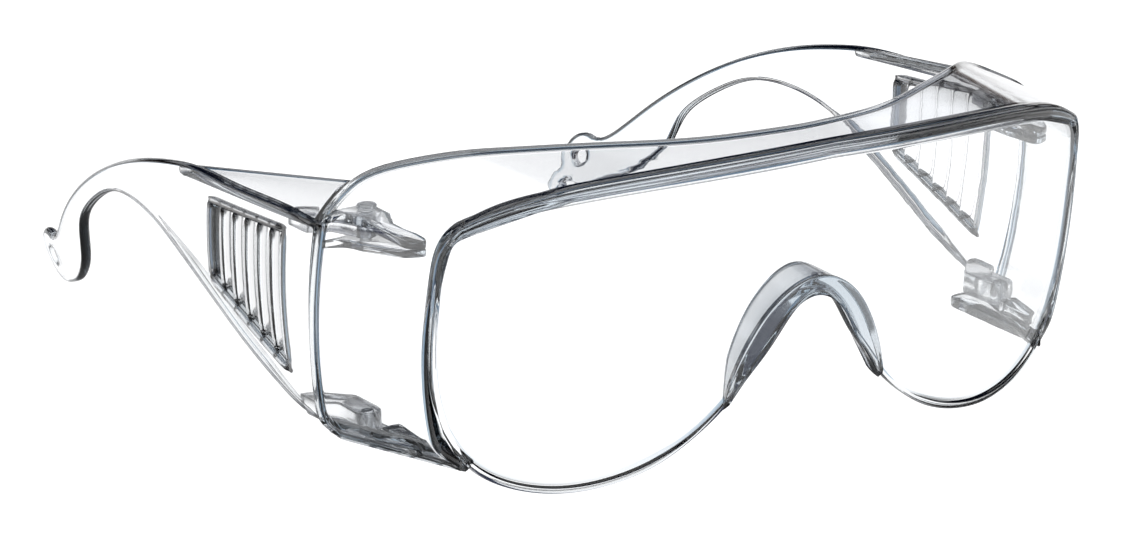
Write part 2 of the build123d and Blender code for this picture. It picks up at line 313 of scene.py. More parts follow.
def piece(name, shape, body, finishes):
    """One Blender object, smooth, riding on a body.

    finishes are the wall's and the rim's; a shape without a count of flat faces is all rim.
    """
    vertices, faces, *flats = shape
    mesh = bpy.data.meshes.new(name)
    mesh.from_pydata(placed(vertices).tolist(), [], [list(face) for face in faces])
    mesh.polygons.foreach_set("use_smooth", np.ones(len(mesh.polygons), bool))
    for finish in finishes:
        mesh.materials.append(finish)
    rim = np.arange(len(mesh.polygons)) >= (flats[0] if flats else 0)
    mesh.polygons.foreach_set("material_index", rim.astype(int) * (len(finishes) - 1))
    mesh.validate()
    mesh.update()
    made = bpy.data.objects.new(name, mesh)
    bpy.context.scene.collection.objects.link(made)
    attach(made, body)
    points = placed(vertices)
    size = (points.max(0) - points.min(0)) / MM
    print(f"{name}: {len(mesh.polygons)} faces, {size.round(1)} mm, foot at {points[:, 2].min() / MM:.2f}")
    return made


# %% [markdown]
# The plastic is one recipe with small changes. Flat walls let the white through, the index
# of polycarbonate bends it at the rims, and a little absorption greys the long paths along a
# wall. Its colour is painted darker where a face is seen at a slant, on rims more than on walls:
# painted shade that draws the dark outlines. Moulding and handling leave faint flow waves, fine
# hairlines and specks, and these go into roughness and bump through one shared node group.

# %% Wear shared by every plastic
def wear_group():
    """Roughness and bump height from flow waves, crossed hairlines and specks."""
    group = bpy.data.node_groups.new("plastic_wear", "ShaderNodeTree")
    face = group.interface
    entries = {"Base Roughness": 0.01, "Haze": 0.03, "Hairlines": 0.5, "Waves": 0.5}
    for label, start in entries.items():
        face.new_socket(label, in_out="INPUT", socket_type="NodeSocketFloat").default_value = start
    face.new_socket("Roughness", in_out="OUTPUT", socket_type="NodeSocketFloat")
    face.new_socket("Height", in_out="OUTPUT", socket_type="NodeSocketFloat")
    nodes, link = group.nodes, group.links.new
    given, result = nodes.new("NodeGroupInput"), nodes.new("NodeGroupOutput")
    place = nodes.new("ShaderNodeTexCoord")

    def noise(scale, detail, stretch=None, turned=0.0):
        """Noise on object coordinates, stretched where a mark is long and thin."""
        source = place.outputs["Object"]
        if stretch:
            mapping = nodes.new("ShaderNodeMapping")
            mapping.inputs["Scale"].default_value = stretch
            mapping.inputs["Rotation"].default_value = (0.3, turned, turned)
            link(source, mapping.inputs["Vector"])
            source = mapping.outputs["Vector"]
        made = linked(group, "ShaderNodeTexNoise", Scale=scale, Detail=detail)
        link(source, made.inputs["Vector"])
        return made.outputs["Fac"]

    def maths(kind, first, second):
        """One Math node with sockets or plain numbers on its inputs."""
        made = nodes.new("ShaderNodeMath")
        made.operation = kind
        for socket, value in zip(made.inputs, (first, second)):
            if isinstance(value, (int, float)):
                socket.default_value = value
            else:
                link(value, socket)
        return made.outputs[0]

    smear = noise(45.0, 3.0)
    lines = noise(900.0, 2.0, (1.0, 0.03, 0.6), 0.5)
    crossed = noise(1100.0, 2.0, (0.04, 1.0, 0.5), -0.7)
    scratched = maths("GREATER_THAN", maths("MULTIPLY", lines, crossed), 0.42)
    speck = maths("GREATER_THAN", noise(1400.0, 1.0), 0.74)
    haze = maths("MULTIPLY", smear, given.outputs["Haze"])
    marks = maths("MULTIPLY", maths("MAXIMUM", scratched, speck), given.outputs["Hairlines"])
    rough = maths("ADD", maths("ADD", haze, given.outputs["Base Roughness"]), maths("MULTIPLY", marks, 0.15))
    waves = maths("MULTIPLY", noise(120.0, 2.0), given.outputs["Waves"])
    link(rough, result.inputs["Roughness"])
    link(maths("ADD", waves, maths("MULTIPLY", marks, 0.2)), result.inputs["Height"])
    return group


wear = wear_group()


def clear_plastic(name, tint, edge_shade_tint, edge_shade_power, roughness, haze, hairlines, waves, density):
    """Polycarbonate: bends and passes light, greys along long paths, lets lamps through.

    Painted shade: the tint slides to the darker edge tint with a set power of how steeply the face is seen.
    """
    made = bpy.data.materials.new(name)
    made.use_nodes = True
    tree = made.node_tree
    shader, output = tree.nodes["Principled BSDF"], tree.nodes["Material Output"]
    shader.inputs["IOR"].default_value = 1.586
    shader.inputs["Transmission Weight"].default_value = 1.0
    marks = tree.nodes.new("ShaderNodeGroup")
    marks.node_tree = wear
    given = {"Base Roughness": roughness, "Haze": haze, "Hairlines": hairlines, "Waves": waves}
    for label, value in given.items():
        marks.inputs[label].default_value = value
    bump = linked(tree, "ShaderNodeBump", Strength=0.12, Distance=0.0002)
    rays, through = tree.nodes.new("ShaderNodeLightPath"), tree.nodes.new("ShaderNodeBsdfTransparent")
    mix = tree.nodes.new("ShaderNodeMixShader")
    inside = linked(tree, "ShaderNodeVolumeAbsorption", Color=(0.55, 0.66, 0.74, 1.0), Density=density)
    # Painted shade: the base colour darkens towards the edge tint where the face is seen at a slant.
    slope = linked(tree, "ShaderNodeLayerWeight", Blend=0.5)
    steep = tree.nodes.new("ShaderNodeMath")
    steep.operation = "POWER"
    steep.inputs[1].default_value = edge_shade_power
    shade = tree.nodes.new("ShaderNodeMix")
    shade.data_type = "RGBA"
    shade.inputs["A"].default_value = (*tint, 1.0)
    shade.inputs["B"].default_value = (*edge_shade_tint, 1.0)
    tree.links.new(slope.outputs["Facing"], steep.inputs[0])
    tree.links.new(steep.outputs[0], shade.inputs["Factor"])
    tree.links.new(shade.outputs["Result"], shader.inputs["Base Color"])
    tree.links.new(marks.outputs["Roughness"], shader.inputs["Roughness"])
    tree.links.new(marks.outputs["Height"], bump.inputs["Height"])
    tree.links.new(bump.outputs["Normal"], shader.inputs["Normal"])
    tree.links.new(rays.outputs["Is Shadow Ray"], mix.inputs["Fac"])
    tree.links.new(shader.outputs[0], mix.inputs[1])
    tree.links.new(through.outputs[0], mix.inputs[2])
    tree.links.new(mix.outputs[0], output.inputs["Surface"])
    tree.links.new(inside.outputs[0], output.inputs["Volume"])
    return made


# Apart from clear, these colours are painted shade: the darker colours a face takes where it is seen at a
# slant.
clear, steel_blue_edge_shade, grey_edge_shade = (1.0, 1.0, 1.0), (0.10, 0.12, 0.17), (0.13, 0.12, 0.13)
dark_blue_edge_shade, brown_edge_shade, frosted_edge_shade = (0.02, 0.03, 0.055), (0.045, 0.035, 0.035), (0.55, 0.57, 0.6)
front_walls = clear_plastic("front_polycarbonate", clear, steel_blue_edge_shade, edge_shade_power=6.0,
                            roughness=0.0, haze=0.015, hairlines=0.25, waves=0.4, density=30.0)
front_rims = clear_plastic("front_rim_polycarbonate", clear, dark_blue_edge_shade, edge_shade_power=2.2,
                           roughness=0.0, haze=0.02, hairlines=0.4, waves=0.6, density=40.0)
# The saddle darkens at a small slant already: painted shade for its dark prism faces.
saddle_prism = clear_plastic("saddle_polycarbonate", clear, dark_blue_edge_shade, edge_shade_power=0.7,
                             roughness=0.0, haze=0.01, hairlines=0.3, waves=0.3, density=110.0)
temple_walls = clear_plastic("temple_polycarbonate", clear, grey_edge_shade, edge_shade_power=6.0,
                             roughness=0.0, haze=0.03, hairlines=0.5, waves=0.8, density=36.0)
temple_rims = clear_plastic("temple_rim_polycarbonate", clear, brown_edge_shade, edge_shade_power=1.15,
                            roughness=0.0, haze=0.03, hairlines=0.5, waves=0.8, density=60.0)
frosted = clear_plastic("frosted_polycarbonate", clear, frosted_edge_shade, edge_shade_power=3.0,
                        roughness=0.1, haze=0.2, hairlines=0.6, waves=1.5, density=8.0)
pins = clear_plastic("pin_polycarbonate", (0.99, 0.99, 1.0), dark_blue_edge_shade, edge_shade_power=1.6,
                     roughness=0.03, haze=0.05, hairlines=0.4, waves=0.6, density=60.0)
front_finish, temple_finish = (front_walls, front_rims), (temple_walls, temple_rims)
print("finishes:", [m.name for m in (*front_finish, saddle_prism, *temple_finish, frosted, pins)])

# %% [markdown]
# The window is a 2.2 mm pane, part of an upright drum that leans back a little at its foot.
# Its outline dips into two lobes and arches over the nose. A raised double bead runs around
# it, broad along the brow, narrow and low at the flanks, and thins away over the nose.

# %% Window
def past(value, edge, width):
    """Smooth switch from 0 to 1 as value passes an edge: 1 / (1 + exp(-(value - edge) / width))."""
    return 1 / (1 + np.exp(-(value - edge) / width))


window_radius, window_front, lean_height = 146.0, -35.8, 31.1
lean = math.radians(7.8)
window_wall = 2.2


def drum_depth(x, z):
    """Depth y of the leaning drum at x and z.

    In the drum's own upright frame the depth is R - sqrt(R^2 - x^2); leaning turns that frame
    about a level line at lean_height.
    """
    sag = window_radius - np.sqrt(window_radius ** 2 - np.asarray(x, float) ** 2)
    rise = (z - lean_height - sag * math.sin(lean)) / math.cos(lean)
    return window_front + sag * math.cos(lean) - rise * math.sin(lean)


def window_sides(columns, rows):
    """Foot, right flank, brow and left flank of the outline, as x and z."""
    belly = [(63.7, 13.5), (61.2, 8.6), (56.5, 4.4), (50.0, 1.8), (43.2, 0.9), (36.0, 1.7), (28.0, 4.2),
             (16.3, 12.8)]
    leg = [(16.3, 12.8), (12.9, 17.4), (9.2, 21.8), (5.6, 27.4), (2.6, 30.9), (0.0, 31.9)]
    half = np.concatenate([spline(belly, 60)[:-1], spline(leg, 40)])
    half = softened(half, 2)
    foot = softened(np.concatenate([half, (half * [-1, 1])[-2::-1]])[::-1], 3)
    foot = run(foot, columns)
    crown = spline([(0, 58.3), (30, 57.1), (50, 55.0), (58.0, 52.9), (63.4, 50.0)], 60)
    brow = np.concatenate([(crown * [-1, 1])[:0:-1], crown])
    across = foot[:, 0] * 63.4 / 63.7
    brow = np.stack([across, np.interp(across, brow[:, 0], brow[:, 1])], 1)
    flank = spline([(63.7, 13.5), (65.6, 20.0), (66.6, 30.0), (66.6, 40.0), (65.9, 46.0), (63.4, 50.0)], rows)
    return foot, flank, brow, flank * [-1, 1]


def patch(foot, right, brow, left):
    """Grid inside four edge curves: the two pairs of edges blended, less their corners."""
    u = ((foot[:, :1] - foot[0, 0]) / (foot[-1, 0] - foot[0, 0]))[:, None]
    v = np.linspace(0, 1, len(right))[None, :, None]
    across = (1 - v) * foot[:, None] + v * brow[:, None]
    up = (1 - u) * left[None] + u * right[None]
    corners = (1 - u) * ((1 - v) * foot[0] + v * brow[0]) + u * ((1 - v) * foot[-1] + v * brow[-1])
    return across + up - corners


columns, rows = 241, 61
foot, right, brow, left = window_sides(columns, rows)
loop = np.concatenate([foot[:-1], right[:-1], brow[:0:-1], left[:0:-1]])
lapped = np.concatenate([loop[-8:], loop, loop[:8]])
tangent = unit(np.gradient(lapped, axis=0))[8:-8]
inward = np.stack([-tangent[:, 1], tangent[:, 0]], 1)
over_nose = past(-np.abs(loop[:, 0]), -25.0, 1.5) * (loop[:, 1] < 36)
along_brow = past(loop[:, 1], 51.5, 1.2)
bead_width = 1.5 + 1.3 * along_brow - 0.7 * over_nose
on_flank = past(np.abs(loop[:, 0]), 61.5, 0.8) * (loop[:, 1] < 47)
bead_height = softened((1.0 - over_nose - 0.7 * on_flank)[:, None], 3, closed=True)[:, 0]
inset = loop + inward * bead_width[:, None]
corner = np.cumsum([0, columns - 1, rows - 1, columns - 1])
inset = np.concatenate([inset, inset[:1]])
foot_in, right_in = inset[:corner[1] + 1], inset[corner[1]:corner[2] + 1]
brow_in, left_in = inset[corner[2]:corner[3] + 1][::-1], inset[corner[3]:][::-1]
plan = patch(foot_in, right_in, brow_in, left_in)
pane = np.stack([plan[..., 0], drum_depth(plan[..., 0], plan[..., 1]), plan[..., 1]], -1)
bead = [(0.10, -0.30), (0.20, -0.55), (0.34, -0.62), (0.46, -0.40), (0.56, -0.32), (0.66, -0.42),
        (0.76, -0.60), (0.86, -0.58), (0.94, -0.38), (0.99, -0.05), (1.0, 0.4), (1.0, 1.3), (0.98, 1.8),
        (0.92, 2.1), (0.8, 2.2)]
step = 0.01
slope_x = (drum_depth(pane[..., 0] + step, pane[..., 2]) - pane[..., 1]) / step
slope_z = (drum_depth(pane[..., 0], pane[..., 2] + step) - pane[..., 1]) / step
pane_normal = unit(np.stack([slope_x, -np.ones_like(slope_x), slope_z], -1))
window_shape = sheet(pane, window_wall, rim=bead, widths=bead_width, heights=bead_height, normal=pane_normal)
window = piece("window", window_shape, "front", front_finish)

# %% [markdown]
# Behind the window one moulded shell carries on backwards: a brow hood on top, a sloping
# shoulder, and a bulging wing down each side that turns in at its foot. Its cross-section is
# a curve that grows from front to back along straight lines, so the whole shell is one grid:
# along the section in one direction, from the window to the rear edge in the other.

# %% Brow hood and wings
barrel_radius, barrel_height = 101.0, 35.6
curl_z, curl_in = 10.4, 4.2
line_y, line_lean = 3.7, 0.10


def section(width, top, shoulder_x, shoulder_z, outer_z):
    """Half a cross-section from the middle of the brow round to the inturned foot."""
    def bulge(z):
        """Half width at height z: the barrel's arc, as width less z^2 / 2R about its middle."""
        return width - (z - barrel_height) ** 2 / (2 * barrel_radius)

    along = np.linspace(0, 1, 40)
    arch = np.stack([shoulder_x * along, top - (top - shoulder_z) * along ** 2], 1)
    side_z = np.linspace(outer_z, curl_z, 44)
    side = np.stack([bulge(side_z), side_z], 1)
    slope = run([arch[-1], side[0]], 18)
    foot = run([side[-1], (side[-1, 0] - curl_in, ledge_z)], 9)
    return np.concatenate([arch, slope[1:], side[1:], foot[1:]])


def whole_section(*sizes):
    """Section from left foot to right foot, its corners softened."""
    half = section(*sizes)
    both = np.concatenate([(half * [-1, 1])[:0:-1], half])
    return softened(both, 2)


front_y, rear_y = -42.0, 12.0
front_half, rear_half = 59.1, 77.9
front_section = whole_section(front_half, 58.4, 45.0, 55.4, 51.4)
rear_section = whole_section(rear_half, 62.0, 53.5, 57.8, 46.6)
swoop = spline([(0, -30.0), (18, -26.8), (36.4, -16.4), (51.6, -5.4), (56.5, -0.4), (64.0, 6.7)], 80)
rim_plan = np.concatenate([swoop, [(74.0, 2.6), (90.0, 0.7)]])


def at_depth(y):
    """Points where the shell's straight lines reach the depths y."""
    share = ((y - front_y) / (rear_y - front_y))[..., None]
    flat = front_section[:, None] + (rear_section - front_section)[:, None] * share
    return np.stack([flat[..., 0], y, flat[..., 1]], -1)


def meets(limit):
    """Depth at which each line first passes a limiting surface, by halving the span."""
    near = np.full((len(front_section), 1), -60.0)
    far = np.full_like(near, 20.0)
    for _ in range(40):
        middle = (near + far) / 2
        inside = middle < limit(at_depth(middle))
        near, far = np.where(inside, middle, near), np.where(inside, far, middle)
    return near


def rear_limit(points):
    """Plan of the hood's swept rear edge above, the leaning hinge line below."""
    x, z = np.abs(points[..., 0]), points[..., 2]
    edge = np.interp(x, rim_plan[:, 0], rim_plan[:, 1])
    line = line_y - line_lean * (z - barrel_height)
    above = past(z, 46.0, 0.35)
    return above * edge + (1 - above) * line


starts = meets(lambda p: drum_depth(np.clip(p[..., 0], -90, 90), p[..., 2])) + 0.7
ends = softened(meets(rear_limit), 2) - 1.0
along = np.linspace(0, 1, 30)[None]
shell_wall = 2.0
shell_grid = at_depth(starts + (ends - starts) * along)
rolled = [(0.35, -0.25), (0.75, -0.2), (1.0, 0.25), (1.05, 1.0), (1.0, 1.75), (0.75, 2.25), (0.3, 2.3),
          (0.05, 2.05)]
shell_shape = sheet(shell_grid, shell_wall, rim=rolled)
piece("brow_hood_and_wings", shell_shape, "front", front_finish)

# %% [markdown]
# A thick saddle bridges the nose. Its cross-section is a bar with softened corners, carried
# over the arch and drawn to a point at both feet, so it acts as a row of small prisms.

# %% Nose saddle
def arch(half, count=97):
    """Smooth curve over the nose through points from one foot to the crown, and their mirror."""
    half = np.asarray(half)
    return spline(np.concatenate([half * [-1, 1], half[-2::-1]]), count)


def saddle():
    """Bar carried along the arch: front corners on the window, rear corners at the back."""
    over = arch([(16.9, 12.2), (15.4, 18.0), (12.6, 24.6), (6.6, 32.0), (0, 34.4)])
    under = arch([(16.3, 12.0), (12.7, 17.2), (9.2, 21.8), (4.9, 28.2), (0, 30.6)])
    back = arch([(15.2, 12.6), (12.9, 18.6), (10.6, 24.0), (6.2, 30.2), (0, 33.2)])
    ridge = arch([(16.2, 12.6), (14.6, 18.8), (12.2, 24.6), (6.8, 31.8), (0, 35.2)])
    rear = np.interp(back[:, 1], [12.6, 20.0, 33.2], [-30.4, -28.2, -27.6])
    depths = [drum_depth(*under.T) + 0.05, drum_depth(*over.T) + 0.05, rear, rear]
    corners = [np.stack([curve[:, 0], depth, curve[:, 1]], 1)
               for curve, depth in zip((under, over, ridge, back), depths)]
    step = np.linspace(0, 1, 17)[:-1]
    ring = np.concatenate([first[:, None] + (second - first)[:, None] * step[None, :, None]
                           for first, second in zip(corners, corners[1:] + corners[:1])], axis=1)
    weights = np.array([0.06, 0.24, 0.4, 0.24, 0.06])
    ring = sum(w * np.roll(ring, k - 2, axis=1) for k, w in enumerate(weights))
    middle = ring.mean(1, keepdims=True)
    travel = np.linspace(0, 1, len(ring))
    taper = np.sqrt(np.clip(np.minimum(travel, 1 - travel) / 0.03, 0.02, 1))[:, None, None]
    return sweep(middle + (ring - middle) * taper)


piece("nose_saddle", saddle(), "front", (saddle_prism,))

# %% [markdown]
# Each temple hangs between two hinges. Above, two small leaves of the front hold a pin with a
# round cap; they run forward inside the shoulder and close to a beak. Below, a ledge along
# the foot of the wing carries a plain pin. All are small slabs with rounded edges.

# %% Hinge seats of the front
hinge_x = 65.7
beak_drop, beak_rise = 2.0, 0.9
plate_low, plate_high, plate_wall = 41.6, 45.6, 1.3


def wing_x(y, z=barrel_height):
    """Half width of the shell at a depth and a height."""
    width = front_half + (rear_half - front_half) * (y - front_y) / (rear_y - front_y)
    return width - (z - barrel_height) ** 2 / (2 * barrel_radius)


def rounded_plan(corners, count=64, reach=1):
    """Closed plan outline, evenly sampled, with small corner radii."""
    return softened(run(np.concatenate([corners, corners[:1]]), count + 1)[:-1], reach, closed=True)


def leaf_plan():
    """A gusset: narrow at its tip ahead, as wide as the wing at the hinge."""
    return rounded_plan([(63.9, 3.0), (61.7, -13.0), (62.5, -14.0), (65.6, -12.4), (69.2, 0.0),
                         (wing_x(2.6, 44) - 0.7, 2.6)])


def ledge_plan():
    """The foot ledge: from well ahead of the hinge back to just behind the temple's block."""
    return rounded_plan([(61.4, 9.3), (60.0, -14.5), (60.2, -21.0), (wing_x(-14.5) - 6.9, -14.5),
                         (wing_x(3.0) - 6.9, 3.0), (69.4, 9.3)])


def beak(y):
    """Share of the way from the hinge to the tip, over which the two leaves close."""
    return np.clip((-3.0 - y) / 11.0, 0, 1)


rib_top, rib_drop = 11.3, 0.9
rib_plan = rounded_plan([(61.9, -4.2), (62.1, -12.2), (64.6, -12.2), (66.0, -4.2)], 40)
leaf_edge, ledge_wall, ledge_edge = 0.35, 2.0, 0.4
seats = [slab(leaf_plan(), plate_low, plate_low + plate_wall, leaf_edge,
              slant=lambda y: beak_rise * beak(y)),
         slab(leaf_plan(), plate_high, plate_high + plate_wall, leaf_edge,
              slant=lambda y: -beak_drop * beak(y)),
         slab(ledge_plan(), ledge_z, ledge_z + ledge_wall, ledge_edge),
         slab(rib_plan, ledge_z + ledge_wall - ledge_edge, rib_top, ledge_edge,
              slant=lambda y: -rib_drop * np.clip((-4.2 - y) / 8.0, 0, 1))]
for label, shapes in (("hinge_seats_left", seats), ("hinge_seats_right", [mirrored(s) for s in seats])):
    piece(label, joined(shapes), "front", front_finish)

# %% [markdown]
# A temple is one thin moulding: a side shield with a louvred vent, narrowing to an arm that
# hooks down behind the ear and ends in a paddle with a cord hole. Its skin bulges like the
# wing and bends slowly inwards towards the back, so a side view of depth and height is
# enough to draw it, and the skin gives the width.

# %% Temple skin and outline
temple_plan_radius = 720.0
tip_y, tip_z, tip_radius = 125.9, 6.0, 5.4
temple_wall = 2.0
lip_reach = 0.8
vent_heads = np.array([(13.2, 42.1), (39.7, 40.6)])
vent_feet = np.array([(14.4, 17.4), (40.0, 27.2)])


def between(first, last, share):
    """Straight line from first to last, at a share of its length."""
    return np.asarray(first) * (1 - share) + np.asarray(last) * share


def on_skin(side_view):
    """Width x of the temple's outer face: an upright arc turned about a far upright axis."""
    y, z = side_view[..., 0], side_view[..., 1]
    sag = barrel_radius - np.sqrt(barrel_radius ** 2 - (z - barrel_height) ** 2)
    reach = temple_plan_radius - sag
    x = hinge_x + 9.3 - temple_plan_radius + np.sqrt(reach ** 2 - (y - line_y) ** 2)
    return np.stack([x, y, z], -1)


def skin_normal(points):
    """Outward normal of the skin: up by the arc's lean, back by the turn about the far axis."""
    tilt = np.arcsin((points[..., 2] - barrel_height) / barrel_radius)
    turned = np.arcsin((points[..., 1] - line_y) / temple_plan_radius)
    return np.stack([np.cos(turned) * np.cos(tilt), np.sin(turned) * np.cos(tilt), np.sin(tilt)], -1)


def temple_grid():
    """Side view grid: columns from hinge line to paddle, rows from foot to top.

    The vent takes a block of cells, so two rows bend to follow its foot and its head.
    """
    top_line = [(3.1, 45.8), (13.2, 46.2), (31.2, 45.5), (48.0, 44.9), (58.0, 43.3), (67.3, 41.2),
                (82.0, 36.4), (95.5, 30.1), (104.0, 25.0), (111.0, 19.9), (117.0, 14.8), (120.6, 12.0),
                (123.6, 10.9), (125.9, 11.3), (128.2, 10.9)]
    foot_line = [(6.7, 9.3), (12.9, 9.9), (21.0, 12.6), (30.0, 16.6), (41.0, 22.0), (52.9, 27.2),
                 (63.0, 30.6), (72.0, 31.8), (82.5, 30.8), (90.4, 27.4), (96.5, 23.6), (100.8, 19.4),
                 (102.6, 15.2), (104.6, 11.2), (108.2, 7.6), (113.0, 4.6), (119.0, 2.2), (125.9, 0.7),
                 (128.2, 1.1)]
    top, foot = spline(top_line, 900), spline(foot_line, 900)
    for curve, sign in ((top, 1), (foot, -1)):
        run_on = unit(np.gradient(curve, axis=0))
        curve += sign * lip_reach * np.stack([run_on[:, 1], -run_on[:, 0]], 1)
    pairs = [(6.7, 3.1), (14.3, 13.1), (40.0, 39.9), (72.0, 71.0), (90.4, 93.5), (100.8, 103.5),
             (104.6, 108.5), (113.0, 115.2), (foot[-1, 0], top[-1, 0])]
    counts = [10, 22, 26, 14, 10, 6, 7, 10]

    def reached(curve, place):
        """Share of a curve's points passed when its depth reaches a place."""
        return np.interp(place, curve[:, 0], np.linspace(0, 1, len(curve)))

    knots_f = reached(foot, [p[0] for p in pairs])
    knots_t = reached(top, [p[1] for p in pairs])
    steps = np.concatenate([[0], np.cumsum(counts)])
    ticks = np.arange(steps[-1] + 1)
    at_f = softened(np.interp(ticks, steps, knots_f)[:, None], 2)[:, 0]
    at_t = softened(np.interp(ticks, steps, knots_t)[:, None], 2)[:, 0]
    at_f[[0, -1]], at_t[[0, -1]] = (0, 1), (0, 1)
    both = [np.stack([np.interp(at, np.linspace(0, 1, 900), curve[:, k]) for k in (0, 1)], 1)
            for at, curve in ((at_f, foot), (at_t, top))]
    foot, top = both
    first, last = steps[1], steps[2]
    share = np.clip((ticks - first) / (last - first), 0, 1)[:, None]
    vent_foot, vent_head = between(*vent_feet, share), between(*vent_heads, share)
    fade = np.clip(np.minimum(ticks / first, 1 - (ticks - last) / 30.0), 0, 1)[:, None]
    fade = fade * fade * (3 - 2 * fade)
    held = np.clip(ticks, first, last)
    low, high = foot + (top - foot) * 0.28, foot + (top - foot) * 0.84
    low, high = low + (vent_foot - low[held]) * fade, high + (vent_head - high[held]) * fade
    rows = [8, 20, 6]
    bands = [foot, low, high, top]
    grid = [lower[:, None] + (upper - lower)[:, None] * np.linspace(0, 1, cells + 1)[None, :, None]
            for lower, upper, cells in zip(bands[:-1], bands[1:], rows)]
    grid = np.concatenate([grid[0], grid[1][:, 1:], grid[2][:, 1:]], axis=1)
    spread = np.linspace(0, 1, grid.shape[1])
    angle = np.radians(-64.0 + spread * 128.0)
    end_radius = tip_radius - lip_reach
    paddle = np.stack([tip_y + end_radius * np.cos(angle), tip_z + end_radius * np.sin(angle)], 1)
    chord = grid[-1, :1] + (grid[-1, -1:] - grid[-1, :1]) * spread[:, None]
    bulge = paddle - chord
    bulge -= bulge[:1] * (1 - spread[:, None]) + bulge[-1:] * spread[:, None]
    pull = np.clip((ticks - (steps[-1] - 10)) / 10.0, 0, 1)[:, None, None] ** 1.4
    return grid + bulge[None] * pull, (first, last), (rows[0], rows[0] + rows[1])


side_grid, vent_columns, vent_rows = temple_grid()
outer_face = on_skin(side_grid)
lip = [(0.25, 0.08), (0.62, 0.45), (0.8, 1.0), (0.62, 1.55), (0.25, 1.92)]
shield = sheet(outer_face, temple_wall, rim=lip, hole=(vent_columns, vent_rows),
               normal=skin_normal(outer_face))
print("temple grid", side_grid.shape, "vent block", vent_columns, vent_rows)

# %% [markdown]
# The louvres are five slats set at a slant in the vent, with a stouter bar at the back. Each
# is a bar with rounded edges carried from the head of the vent down to its foot.

# %% Louvres, rib and turned-in shoulder
backward_lean = 0.16


def bar(path, across, deep, tilt=0.0, corner=4, ends_in=0.5, growth=0.4):
    """Rounded bar along a path on the skin: a superellipse section turned by tilt degrees.

    The section starts at ends_in of its size and gains growth at each point from the ends.
    """
    path = np.asarray(path, float)
    along = unit(np.gradient(path, axis=0))
    rise = (path[:, 2] - barrel_height) / barrel_radius
    out = unit(np.stack([np.ones(len(path)), np.full(len(path), backward_lean), rise], 1))
    side = unit(np.cross(out, along))
    out = unit(np.cross(along, side))
    angle = np.linspace(0, 2 * np.pi, 20, endpoint=False)
    a = np.sign(np.cos(angle)) * np.abs(np.cos(angle)) ** (2 / corner) * across / 2
    b = np.sign(np.sin(angle)) * np.abs(np.sin(angle)) ** (2 / corner) * deep / 2
    t = math.radians(tilt)
    a, b = a * math.cos(t) - b * math.sin(t), a * math.sin(t) + b * math.cos(t)
    travel = np.minimum(np.arange(len(path)), np.arange(len(path))[::-1])
    shrink = np.clip(ends_in + travel * growth, 0, 1)[:, None]
    a, b = shrink * a[None], shrink * b[None]
    return sweep(path[:, None] + side[:, None] * a[..., None] + out[:, None] * b[..., None])


def vent_line(share, low=-0.02, high=1.02, count=16):
    """Points down the vent at a share of its length, a little below the outer face."""
    head, base = between(*vent_heads, share), between(*vent_feet, share)
    line = head + (base - head) * np.linspace(low, high, count)[:, None]
    return on_skin(line) - [1.1, 0, 0]


slats = [bar(vent_line(k / 6), 1.25, 2.6, tilt=38.0, corner=5) for k in range(1, 6)]
slats.append(bar(vent_line(0.99), 2.0, 2.5, corner=5))
slats.append(bar(vent_line(0.01), 0.9, 2.5, corner=5))
for start, finish in (((12.8, 42.5), (40.0, 41.0)), ((13.9, 16.9), (40.4, 26.9))):
    edge = run([start, finish], 24)
    slats.append(bar(on_skin(edge) - [0.9, 0, 0], 1.0, 2.7, corner=5))

lower_edge = on_skin(spline([(8.5, 10.6), (13.5, 11.4), (22.0, 14.6), (31.0, 18.6), (42.0, 24.0),
                             (53.5, 29.0), (62.0, 31.9)], 40)) - [2.3, 0, 0]
rib = bar(lower_edge, 2.2, 1.6, corner=3, ends_in=0.1, growth=0.08)

shoulder_share = np.linspace(0, 1, 44)[:, None]
bend_line = between([74.2, 3.6, 46.3], [73.0, 50.0, 44.0], shoulder_share)
inner_line = between([65.2, 7.6, 50.6], [72.7, 51.5, 44.0], shoulder_share)
across = np.linspace(0, 1, 12)[None, :, None]
crown = 0.5 * np.sin(np.pi * across) * (1 - shoulder_share)[:, None] * [0.4, 0, 1.0]
flange_face = bend_line[:, None] + (inner_line - bend_line)[:, None] * across + crown
flange = sheet(flange_face, 1.7)

# %% [markdown]
# The two lugs reach in from the shield to the hinge axes. A mould is left rough there, so
# they come out frosted and read as pale blocks among the clear plastic.

# %% Frosted lugs
knuckle_radius = 2.4


def eyelet_plan(arm):
    """Half round about the hinge axis, running into the corners of an arm behind it."""
    angle = np.radians(np.linspace(180, 360, 19))
    nose = np.stack([hinge_x + knuckle_radius * np.cos(angle), knuckle_radius * np.sin(angle)], 1)
    return rounded_plan(np.concatenate([nose, arm]), 72)


upper_arm = [(69.9, 4.6), (wing_x(4.0, 44) - 1.4, 6.2), (wing_x(4.0, 44) - 1.4, 12.6), (71.0, 12.0),
             (64.6, 7.2)]
lower_arm = [(68.0, 5.6), (70.6, 7.2), (70.9, 13.4), (68.6, 13.0), (63.4, 7.4)]
lugs = joined([slab(eyelet_plan(upper_arm), 43.2, 45.3, 0.3), slab(eyelet_plan(lower_arm), 9.1, 13.3, 0.45)])


def lathe(profile, x, count=40):
    """Profile of (radius, height) turned about an upright axis at x."""
    profile = np.asarray(profile, float)
    angle = np.linspace(0, 2 * np.pi, count, endpoint=False)
    ring = np.stack([x + profile[:, :1] * np.cos(angle), profile[:, :1] * np.sin(angle),
                     np.broadcast_to(profile[:, 1:], (len(profile), count))], -1)
    return sweep(ring)


